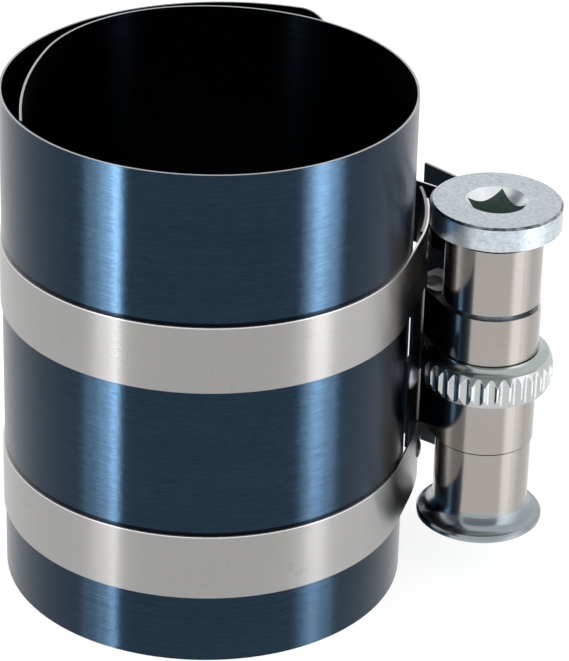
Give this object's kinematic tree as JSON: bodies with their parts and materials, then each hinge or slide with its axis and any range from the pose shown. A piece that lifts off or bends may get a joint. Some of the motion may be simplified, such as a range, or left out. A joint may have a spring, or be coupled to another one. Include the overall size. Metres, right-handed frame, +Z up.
{
  "type": "piston ring compressor",
  "caption": "Piston ring compressor: a coiled spring-steel sleeve with steel straps that a ratchet spindle with a square key socket winds in, to squeeze piston rings.",
  "frame": {"origin": "centre of the sleeve's bottom opening, on the sleeve's axis, in the plane of its bottom rim", "axes": "+Z up along the sleeve's and the spindle's axes, towards the spindle's square socket; +X from the sleeve's axis towards the spindle; +Y to the back, where the straps leave the sleeve"},
  "size_m": [0.0844, 0.0639, 0.08],
  "materials": {
    "sleeve_blued": "dark blue tempered spring steel, brushed round the sleeve, satin",
    "strap_steel": "bright rolled steel strip, satin",
    "coil_steel": "bright rolled steel strip, polished by rubbing",
    "rivet_steel": "plain steel, semi-bright",
    "plate_blued": "dark blue tempered spring steel with bright sheared edges",
    "housing_steel": "bright rolled steel, polished",
    "carrier_steel": "plain pressed steel, dull",
    "pawl_steel": "hardened steel, dark",
    "spring_wire": "drawn spring wire, bright",
    "spindle_zinc": "turned steel with bright zinc plating, pale blue tint",
    "wheel_steel": "machined steel, polished cone and tooth crests",
    "foot_zinc": "turned steel with bright zinc plating"
  },
  "bodies": {
    "frame": {"sleeve_sheet": "sleeve_blued", "strap_lower": "strap_steel", "strap_upper": "strap_steel", "strap_rivets_lower": "rivet_steel", "strap_rivets_upper": "rivet_steel", "shoe_plate": "plate_blued", "shoe_rivet": "rivet_steel", "ratchet_housing": "housing_steel", "housing_rivets_shoe": "rivet_steel", "housing_rivets_guard": "rivet_steel", "guard_plate": "plate_blued", "pawl_carrier": "carrier_steel", "carrier_rivets": "rivet_steel", "pawl_pin": "rivet_steel", "pawl_spring": "spring_wire"},
    "spindle": {"spindle": "spindle_zinc", "ratchet_wheel": "wheel_steel", "wheel_pin": "rivet_steel", "spindle_foot": "foot_zinc", "coil_lower": "coil_steel", "coil_upper": "coil_steel"},
    "pawl": {"pawl": "pawl_steel"}
  },
  "joints": [
    {"name": "spindle_turn", "type": "hinge", "parent": "frame", "child": "spindle", "pos_m": [0.0432, 0.0012, 0.0337], "axis": [0, 0, -1], "range_deg": [-325, 540]},
    {"name": "pawl_release", "type": "hinge", "parent": "frame", "child": "pawl", "pos_m": [0.03569, 0.01736, 0.0337], "axis": [0, 0, 1], "range_deg": [0, 12], "stiffness_Nm_per_rad": 0.004, "springref_deg": -17.19}
  ]
}
